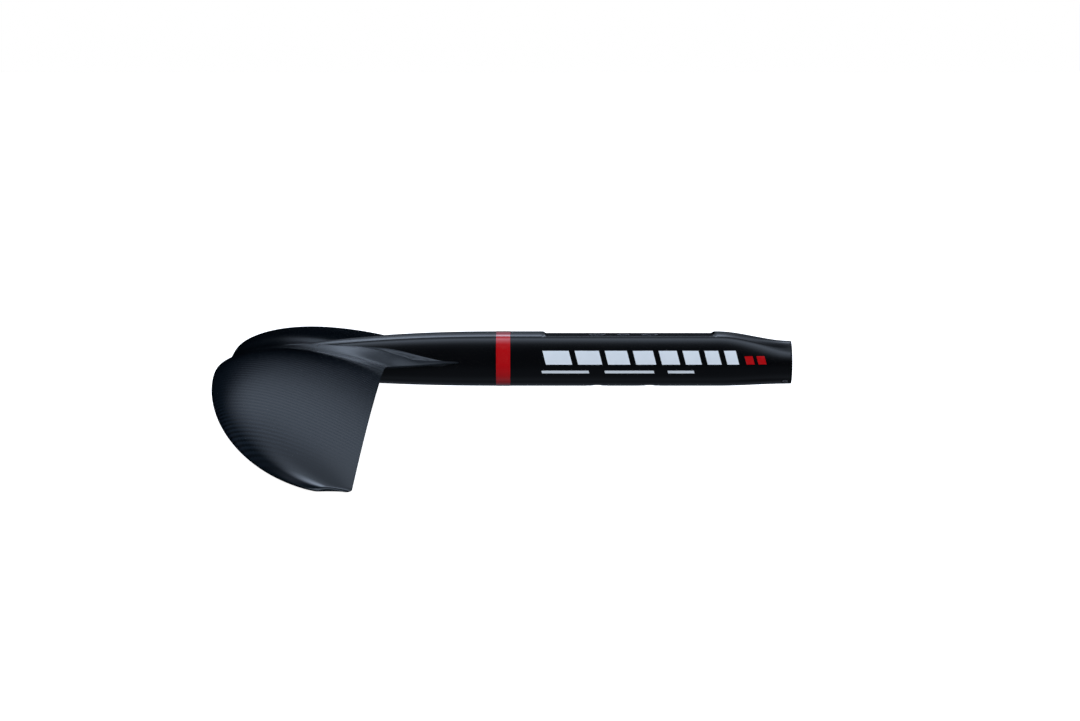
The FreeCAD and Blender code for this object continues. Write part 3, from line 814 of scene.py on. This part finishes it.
def rim_mesh():
    """The dark ring round the socket's mouth: a turned profile with rounded corners."""
    front = TAIL_X - RIM_LENGTH
    outer = TAIL_RADIUS - RIM_GAP
    bore = SOCKET_R
    soft = RIM_ROUND
    profile = [
        (front, outer),
        (TAIL_X - soft, outer),
        (TAIL_X - soft * 0.3, outer - soft * 0.3),
        (TAIL_X, outer - soft),
        (TAIL_X, bore + soft * 1.6),
        (TAIL_X - soft * 0.5, bore + soft * 0.5),
        (TAIL_X - soft * 1.6, bore),
        (front, bore),
    ]
    points = []
    for x, r in profile:
        for i in range(RIM_COLUMNS):
            a = 2 * math.pi * i / RIM_COLUMNS
            points.append((x, r * math.cos(a), TAIL_CENTRE_Z + r * math.sin(a)))
    faces, _ = grid_faces(len(profile), RIM_COLUMNS, closed=True)
    last = (len(profile) - 1) * RIM_COLUMNS
    for i in range(RIM_COLUMNS):
        j = (i + 1) % RIM_COLUMNS
        faces.append((last + i, last + j, j, i))
    return smooth_mesh("tail_rim_ring", points, faces, 35)


# ---------------------------------------------------------------- materials


class Nodes:
    """Short ways to add and join shader nodes."""

    def __init__(self, tree):
        self.tree = tree
        tree.nodes.clear()

    def add(self, kind, **settings):
        """A new node with its settings."""
        node = self.tree.nodes.new(kind)
        for key, value in settings.items():
            setattr(node, key, value)
        return node

    def join(self, source, target):
        """Links an output to an input."""
        self.tree.links.new(source, target)

    def feed(self, value, target):
        """Sets an input to a number or a colour, or links it to an output."""
        if isinstance(value, (int, float)):
            target.default_value = value
        elif isinstance(value, tuple):
            target.default_value = (*value, 1.0)
        else:
            self.join(value, target)

    def math(self, operation, *values, clamp=False):
        """The result of a math operation on numbers or outputs."""
        node = self.add("ShaderNodeMath", operation=operation, use_clamp=clamp)
        for value, target in zip(values, node.inputs):
            self.feed(value, target)
        return node.outputs[0]

    def mix(self, factor, a, b):
        """A colour between a and b."""
        node = self.add("ShaderNodeMix", data_type="RGBA")
        self.feed(factor, node.inputs[0])
        self.feed(a, node.inputs[6])
        self.feed(b, node.inputs[7])
        return node.outputs[2]

    def noise(self, vector, scale, detail):
        """A noise texture's value, from 0 to 1."""
        node = self.add("ShaderNodeTexNoise")
        node.inputs["Scale"].default_value = scale
        node.inputs["Detail"].default_value = detail
        self.join(vector, node.inputs["Vector"])
        return node.outputs["Fac"]

    def ramp(self, value, low, high, out_low=0.0, out_high=1.0):
        """value between low and high, smoothed, as a number between out_low and out_high."""
        node = self.add("ShaderNodeMapRange", interpolation_type="SMOOTHSTEP")
        self.join(value, node.inputs[0])
        for index, number in zip((1, 2, 3, 4), (low, high, out_low, out_high)):
            node.inputs[index].default_value = number
        return node.outputs[0]

    def position(self):
        """The point on the surface in the object's own frame, in metres."""
        return self.add("ShaderNodeTexCoord").outputs["Object"]

    def stretched(self, scales):
        """The same with each axis scaled."""
        node = self.add("ShaderNodeMapping")
        node.inputs["Scale"].default_value = scales
        self.join(self.position(), node.inputs["Vector"])
        return node.outputs[0]

    def axes(self, vector):
        """The x, y and z of a vector."""
        node = self.add("ShaderNodeSeparateXYZ")
        self.join(vector, node.inputs[0])
        return node.outputs

    def bump(self, height, distance, strength):
        """A normal that a height bends."""
        node = self.add("ShaderNodeBump")
        node.inputs["Strength"].default_value = strength
        node.inputs["Distance"].default_value = distance
        self.join(height, node.inputs["Height"])
        return node.outputs["Normal"]


def surface(name):
    """A new material: its node helper and its shader, already joined to the output."""
    material = bpy.data.materials.new(name)
    material.use_nodes = True
    nodes = Nodes(material.node_tree)
    shader = nodes.add("ShaderNodeBsdfPrincipled")
    output = nodes.add("ShaderNodeOutputMaterial")
    nodes.join(shader.outputs[0], output.inputs[0])
    return material, nodes, shader


def set_shader(shader, **values):
    """Sets the shader's plain inputs, their spaces written as underscores."""
    for key, value in values.items():
        shader.inputs[key.replace("_", " ")].default_value = value


# all in metres
TOW = 0.0020  # width of one tow of the woven carbon
TOW_HEIGHT = 0.00004
WEAVE_AND_PAINTED_LIGHT_IN = (0.045, 0.150)  # distances from the middle between which the weave, and a painted lighter zone for light on the mid span, come in
WEAVE_AND_PAINTED_LIGHT_OUT = (0.330, 0.440)  # and fade out again
FAIRING_SIDE = (0.030, 0.050)  # distances from the middle over which the root's duller finish ends
FAIRING_FRONT = (-0.262, -0.200)  # x over which it begins


def tow_height(nodes, place):
    """The rounded top of a tow: 1 along its middle, 0 at its edges. place counts tows across it."""
    from_middle = nodes.math("SUBTRACT", nodes.math("FRACT", place), 0.5)
    square = nodes.math("MULTIPLY", from_middle, from_middle)
    return nodes.math("MULTIPLY_ADD", square, -4.0, 1.0)


def twill(nodes, position):
    """A two by two twill: 1 where the warp lies on top, and the height of the tow that shows."""
    x, y, _ = nodes.axes(position)
    along = nodes.math("DIVIDE", x, TOW)
    across = nodes.math("DIVIDE", y, TOW)
    diagonal = nodes.math("ADD", nodes.math("FLOOR", along), nodes.math("FLOOR", across))
    warp = nodes.math("LESS_THAN", nodes.math("FLOORED_MODULO", diagonal, 4.0), 2.0)
    weft = nodes.math("SUBTRACT", 1.0, warp)
    warp_height = nodes.math("MULTIPLY", warp, tow_height(nodes, across))
    weft_height = nodes.math("MULTIPLY", weft, tow_height(nodes, along))
    return warp, nodes.math("ADD", warp_height, weft_height)


def wing_carbon():
    """Polished fine twill. The weave's pattern, and a lighter tone painted for the light on the mid span,
    fade out towards the root and the tips. The fairing beside the fuselage is duller, under a soft coat of
    its own."""
    material, nodes, shader = surface("wing_carbon")
    position = nodes.position()
    x, y, _ = nodes.axes(position)
    distance = nodes.math("ABSOLUTE", y)
    beside = nodes.ramp(distance, *FAIRING_SIDE, 1.0, 0.0)
    fairing = nodes.math("MULTIPLY", beside, nodes.ramp(x, *FAIRING_FRONT))
    # mask of the weave, and of a painted lighter zone that stands for light falling on the mid span
    weave_and_light_begun = nodes.ramp(distance, *WEAVE_AND_PAINTED_LIGHT_IN)
    shown = nodes.math("MULTIPLY", weave_and_light_begun, nodes.ramp(distance, *WEAVE_AND_PAINTED_LIGHT_OUT, 1.0, 0.0))
    warp, height = twill(nodes, position)
    cloudy = nodes.noise(position, 22.0, 3.0)
    grain = nodes.noise(position, 900.0, 1.0)
    # the lighter warp is the weave's pattern and, averaged over the mask, painted light
    tone = nodes.math("MULTIPLY", nodes.math("MULTIPLY", warp, 0.8), shown)
    tone = nodes.math("ADD", tone, nodes.math("MULTIPLY_ADD", grain, 0.12, -0.06))
    tone = nodes.math("ADD", tone, nodes.math("MULTIPLY_ADD", cloudy, 0.20, -0.06), clamp=True)
    colour = nodes.mix(tone, (0.0022, 0.0042, 0.0064), (0.011, 0.018, 0.027))
    nodes.join(colour, shader.inputs["Base Color"])
    duller = nodes.math("MULTIPLY_ADD", fairing, 0.27, 0.10)
    nodes.join(nodes.math("ADD", nodes.math("MULTIPLY", tone, 0.06), duller), shader.inputs["Roughness"])
    nodes.join(nodes.math("MULTIPLY", fairing, 0.75), shader.inputs["Coat Weight"])
    relief = nodes.math("MULTIPLY", height, shown)
    nodes.join(nodes.bump(relief, TOW_HEIGHT, 0.36), shader.inputs["Normal"])
    set_shader(shader, Coat_Roughness=0.45, Specular_IOR_Level=0.5)
    return material


def fuselage_black():
    """Satin black laminate with a very fine texture and faint clouds."""
    material, nodes, shader = surface("fuselage_black")
    position = nodes.position()
    cloudy = nodes.noise(position, 30.0, 4.0)
    grain = nodes.noise(position, 1600.0, 2.0)
    tone = nodes.math("ADD", nodes.math("MULTIPLY", cloudy, 0.6), nodes.math("MULTIPLY", grain, 0.4))
    colour = nodes.mix(tone, (0.0006, 0.0007, 0.0010), (0.0022, 0.0026, 0.0034))
    nodes.join(colour, shader.inputs["Base Color"])
    nodes.join(nodes.math("MULTIPLY_ADD", cloudy, 0.06, 0.18), shader.inputs["Roughness"])
    nodes.join(nodes.bump(grain, 0.00002, 0.25), shader.inputs["Normal"])
    set_shader(shader, Specular_IOR_Level=0.5)
    return material


def paint(name, dark, light, roughness, gloss=0.0):
    """A printed or painted film with a slight mottle, fine texture and a clear coat."""
    material, nodes, shader = surface(name)
    position = nodes.position()
    mottle = nodes.noise(position, 60.0, 3.0)
    grain = nodes.noise(position, 2200.0, 1.0)
    nodes.join(nodes.mix(mottle, dark, light), shader.inputs["Base Color"])
    nodes.join(nodes.math("MULTIPLY_ADD", grain, 0.08, roughness), shader.inputs["Roughness"])
    nodes.join(nodes.bump(grain, 0.00001, 0.3), shader.inputs["Normal"])
    set_shader(shader, Specular_IOR_Level=0.35, Coat_Weight=gloss, Coat_Roughness=0.06)
    return material


def metal(name, colour, roughness, grain_scale, stretch):
    """Turned or anodised metal with fine tool marks."""
    material, nodes, shader = surface(name)
    marks = nodes.noise(nodes.stretched(stretch), grain_scale, 2.0)
    darker = tuple(0.75 * c for c in colour)
    nodes.join(nodes.mix(marks, darker, colour), shader.inputs["Base Color"])
    nodes.join(nodes.math("MULTIPLY_ADD", marks, 0.15, roughness), shader.inputs["Roughness"])
    nodes.join(nodes.bump(marks, 0.00001, 0.4), shader.inputs["Normal"])
    set_shader(shader, Metallic=1.0)
    return material


def laminate(name, dark, light, roughness):
    """Machined glass laminate or bare cured carbon: faint straight tool marks along the part."""
    material, nodes, shader = surface(name)
    marks = nodes.noise(nodes.stretched((40.0, 900.0, 900.0)), 1.0, 2.0)
    nodes.join(nodes.mix(marks, dark, light), shader.inputs["Base Color"])
    nodes.join(nodes.math("MULTIPLY_ADD", marks, 0.12, roughness), shader.inputs["Roughness"])
    nodes.join(nodes.bump(marks, 0.00002, 0.4), shader.inputs["Normal"])
    return material


def foam():
    """Closed-cell foam, with painted shade darkening the pits of its cells."""
    material, nodes, shader = surface("core_foam")
    cells = nodes.add("ShaderNodeTexVoronoi")
    cells.inputs["Scale"].default_value = 1500.0
    nodes.join(nodes.position(), cells.inputs["Vector"])
    depth = cells.outputs["Distance"]
    # darker where the distance is small, in the pits: painted shade in the hollows
    nodes.join(nodes.mix(depth, (0.62, 0.56, 0.42), (0.84, 0.80, 0.68)), shader.inputs["Base Color"])
    nodes.join(nodes.bump(depth, 0.0002, 0.6), shader.inputs["Normal"])
    set_shader(shader, Roughness=0.85)
    return material


# ---------------------------------------------------------------- building


def dress_cad(material, *names):
    """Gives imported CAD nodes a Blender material."""
    for name in names:
        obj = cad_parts[name]
        for place in obj.material_slots:
            place.material = material
        if not obj.material_slots:
            obj.data.materials.append(material)


def stand_in(name, mesh, material, node):
    """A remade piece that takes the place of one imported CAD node."""
    obj = new_object(name, mesh, material)
    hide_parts(node)


def build_object():
    """Every visible piece: remade skins, paint and rim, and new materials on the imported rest."""
    wing = wing_carbon()
    black = fuselage_black()
    red = paint("red_paint", (0.42, 0.0012, 0.0035), (0.50, 0.0022, 0.0050), 0.08, 1.0)
    pale = paint("pale_print", (0.64, 0.71, 0.78), (0.76, 0.83, 0.90), 0.35)

    for mesh, node in zip(wing_meshes(), ("wing_upper_skin", "wing_lower_skin")):
        stand_in(node + "_surface", mesh, wing, node)
    for mesh, node in zip(body_meshes(), ("fuselage_upper_shell", "fuselage_lower_shell")):
        stand_in(node + "_surface", mesh, black, node)
    stand_in("colour_band_film", band_mesh(), red, "colour_band")
    for side, where in ((-1, "port"), (1, "starboard")):
        marks = patches_mesh("side_" + where, side_marks(), side)
        stand_in("side_marking_film_" + where, marks, pale, "side_marking_" + where)
        marks = patches_mesh("size_" + where, size_marks(), side)
        stand_in("size_mark_film_" + where, marks, red, "size_mark_" + where)

    anodised = metal("black_anodised", (0.035, 0.035, 0.038), 0.32, 1200.0, (1.0, 1.0, 1.0))
    steel = metal("turned_stainless", (0.62, 0.62, 0.64), 0.22, 1500.0, (1.0, 1.0, 6.0))
    block = laminate("hard_laminate", (0.002, 0.002, 0.003), (0.006, 0.006, 0.007), 0.16)
    spar = laminate("bare_carbon", (0.012, 0.012, 0.013), (0.03, 0.03, 0.032), 0.4)
    stand_in("tail_rim_ring", rim_mesh(), anodised, "tail_rim")
    dress_cad(anodised, "tail_socket_liner", "tail_socket_plug", "lock_inserts")
    dress_cad(steel, "mast_bolt_sleeves", "mast_bolt_seats", "dowel_bush", "lock_screws")
    dress_cad(block, "mast_block")
    dress_cad(spar, "spar_cap_upper", "spar_cap_lower", "spar_web_front", "spar_web_rear")
    dress_cad(
        foam(), "spar_core", "front_core_port", "front_core_starboard", "rear_core_port",
        "rear_core_starboard", "nose_core_upper", "nose_core_lower", "neck_core", "tail_core",
    )


# ---------------------------------------------------------------- stage, light and camera

CAMERA_AIM = (-64.5, 0.0, -18.96)
CAMERA_DISTANCE = 2278.0
CAMERA_ELEVATION = 5.69
PIXELS_PER_MM = 1.376  # at the aim point, in a frame as wide as the next line says
FRAME_WIDTH = 1080.0
SENSOR = 36.0
FLOOR_GAP = 0.0005  # metres below the lowest point
FLOOR_HALF = 30.0  # metres
FRONT_FILL = 80.0  # watts
BACK_FILL = 50.0
FILL_SIZE = (4.0, 2.0)  # metres
FILL_X = -0.06
FILL_Y = 3.0
FILL_Z = 0.45
FILL_TILT = 82.0  # degrees from pointing straight down

# Brightness of the studio at elevations in degrees, behind the part and on the camera's side.
BACK_LIGHT = [
    (-90, 0.10), (-60, 0.12), (-45, 0.18), (-30, 0.08), (-10, 0.0), (13, 0.0), (14.5, 0.03), (16.5, 0.20),
    (19, 0.29), (21, 0.28), (23, 0.16), (27, 0.17), (34, 0.40), (38, 1.3), (42, 2.6), (46, 2.3), (50, 1.1),
    (56, 0.7), (65, 0.35), (75, 0.4), (90, 0.75),
]
FRONT_LIGHT = [
    (-90, 0.20), (-55, 0.10), (-25, 0.08), (-5, 0.02), (10, 0.02), (25, 0.16), (36, 0.95), (44, 1.5),
    (52, 2.3), (57, 2.1), (63, 0.8), (72, 0.55), (90, 0.75),
]
# What is left of the light behind towards the two ends, over a stretch of the direction's x.
NOSE_END_LIGHT = (-0.32, -0.13, 0.06, 1.0)
TAIL_END_LIGHT = (0.08, 0.22, 1.0, 0.3)
SIDE_BLEND = (-0.15, 0.15)  # the direction's y over which the front light gives way to the back light


def build_camera():
    """A long lens on the port side, slightly above the part."""
    camera = bpy.data.cameras.new("camera")
    camera.sensor_width = SENSOR
    camera.lens = PIXELS_PER_MM * CAMERA_DISTANCE * SENSOR / FRAME_WIDTH
    camera.clip_end = 100.0
    obj = link_object("camera", camera)
    tilt = math.radians(CAMERA_ELEVATION)
    aim = np.array(CAMERA_AIM)
    obj.location = (aim + CAMERA_DISTANCE * np.array([0, -math.cos(tilt), math.sin(tilt)])) * MM
    obj.rotation_euler = (math.pi / 2 - tilt, 0, 0)
    bpy.context.scene.camera = obj


def build_floor():
    """A pale floor just under the wing tips. The part neither mirrors it nor is lit by it."""
    mesh = bpy.data.meshes.new("floor")
    level = CAD_BOX[0].z - FLOOR_GAP
    corners = [(-1, -1), (1, -1), (1, 1), (-1, 1)]
    mesh.from_pydata([(FLOOR_HALF * x, FLOOR_HALF * y, level) for x, y in corners], [], [(0, 1, 2, 3)])
    obj = link_object("floor", mesh)
    material = bpy.data.materials.new("pale_floor")
    material.use_nodes = True
    nodes = Nodes(material.node_tree)
    glow = nodes.add("ShaderNodeEmission")
    glow.inputs["Strength"].default_value = 0.95
    matte = nodes.add("ShaderNodeBsdfDiffuse")
    matte.inputs["Color"].default_value = (0.8, 0.8, 0.8, 1)
    both = nodes.add("ShaderNodeAddShader")
    output = nodes.add("ShaderNodeOutputMaterial")
    nodes.join(glow.outputs[0], both.inputs[0])
    nodes.join(matte.outputs[0], both.inputs[1])
    nodes.join(both.outputs[0], output.inputs[0])
    mesh.materials.append(material)
    obj.visible_glossy = False
    obj.visible_diffuse = False


def elevation_profile(nodes, height, stops):
    """Brightness against the sine of the elevation, from (degrees, brightness) stops."""
    ramp = nodes.add("ShaderNodeFloatCurve")
    curve = ramp.mapping.curves[0]
    places = [((math.sin(math.radians(d)) + 1) / 2, b) for d, b in stops]
    curve.points[0].location = places[0]
    curve.points[-1].location = places[-1]
    for place in places[1:-1]:
        curve.points.new(*place)
    for point in curve.points:
        point.handle_type = "VECTOR"
    ramp.mapping.update()
    nodes.join(nodes.math("MULTIPLY_ADD", height, 0.5, 0.5), ramp.inputs["Value"])
    return ramp.outputs[0]


def build_world():
    """A soft studio: long soft boxes high behind the part and high on the camera's side, dark round the
    horizon. The camera itself sees plain white."""
    world = bpy.data.worlds.new("studio")
    bpy.context.scene.world = world
    world.use_nodes = True
    nodes = Nodes(world.node_tree)
    direction = nodes.add("ShaderNodeTexCoord").outputs["Generated"]
    x, y, z = nodes.axes(direction)
    back = elevation_profile(nodes, z, BACK_LIGHT)
    front = elevation_profile(nodes, z, FRONT_LIGHT)
    back = nodes.math("MULTIPLY", back, nodes.ramp(x, *TAIL_END_LIGHT))
    back = nodes.math("MULTIPLY", back, nodes.ramp(x, *NOSE_END_LIGHT))
    behind = nodes.ramp(y, *SIDE_BLEND)
    back = nodes.math("MULTIPLY", back, behind)
    front = nodes.math("MULTIPLY", front, nodes.math("SUBTRACT", 1.0, behind))
    mixed = nodes.math("ADD", back, front)
    studio = nodes.add("ShaderNodeBackground")
    studio.inputs["Color"].default_value = (0.76, 0.90, 1.12, 1.0)
    nodes.join(mixed, studio.inputs["Strength"])
    seen = nodes.add("ShaderNodeBackground")
    seen.inputs["Color"].default_value = (1.0, 1.0, 1.0, 1.0)
    path = nodes.add("ShaderNodeLightPath")
    choice = nodes.add("ShaderNodeMixShader")
    output = nodes.add("ShaderNodeOutputWorld")
    nodes.join(path.outputs["Is Camera Ray"], choice.inputs[0])
    nodes.join(studio.outputs[0], choice.inputs[1])
    nodes.join(seen.outputs[0], choice.inputs[2])
    nodes.join(choice.outputs[0], output.inputs[0])


def build_fill(name, side, power):
    """A broad, even light from one side, -1 the camera's and 1 the other, that brings out paint and prints
    without a reflection of its own."""
    light = bpy.data.lights.new(name, "AREA")
    light.shape = "RECTANGLE"
    light.size, light.size_y = FILL_SIZE
    light.energy = power
    light.color = (1.0, 0.98, 0.96)
    obj = link_object(name, light)
    obj.location = (FILL_X, side * FILL_Y, FILL_Z)
    obj.rotation_euler = (math.radians(-side * FILL_TILT), 0, 0)
    obj.visible_glossy = False


build_camera()
build_floor()
build_world()
build_fill("front_fill", -1, FRONT_FILL)
build_fill("back_fill", 1, BACK_FILL)
build_object()
scene = bpy.context.scene
scene.view_settings.view_transform = "Standard"
scene.view_settings.look = "None"
